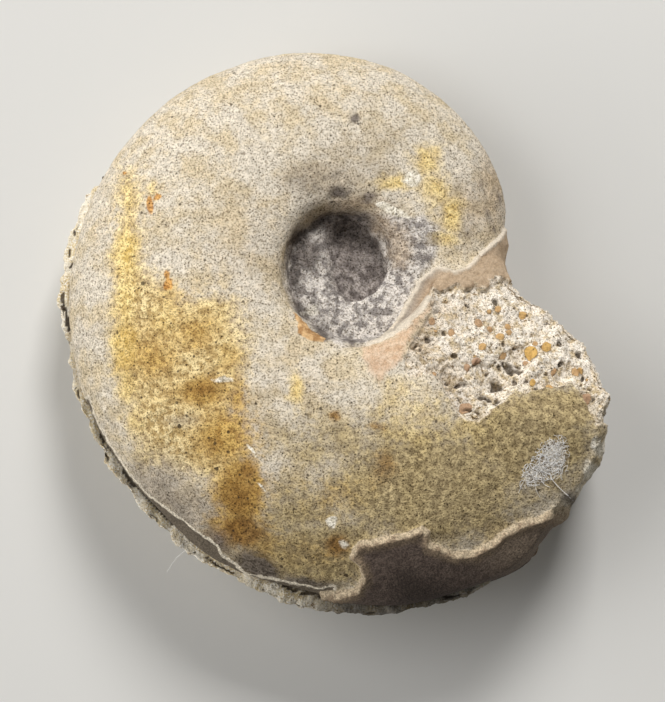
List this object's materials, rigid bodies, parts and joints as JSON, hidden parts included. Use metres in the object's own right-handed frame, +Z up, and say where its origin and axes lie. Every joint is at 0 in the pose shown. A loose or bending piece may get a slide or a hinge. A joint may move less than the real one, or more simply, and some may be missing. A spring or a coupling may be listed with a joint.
{
  "type": "lissoceras oolithicum ammonite fossil",
  "caption": "Fossil ammonite: limestone cast of a coiled shell with an open umbilicus, a broken mouth of coarse ooid rock and remains of shell, lying on one flank.",
  "frame": {"origin": "middle of the flat spot on the back flank, on the ground", "axes": "+Z up, nearly along the axis of the coil; +Y towards the narrow side of the last whorl; +X towards the broken mouth"},
  "size_m": [0.0659, 0.0682, 0.024],
  "materials": {
    "fossil_limestone": "dry grained cream limestone with ochre and brown stains, grey in the umbilicus"
  },
  "bodies": {
    "root": {"ammonite": "fossil_limestone"}
  },
  "joints": []
}
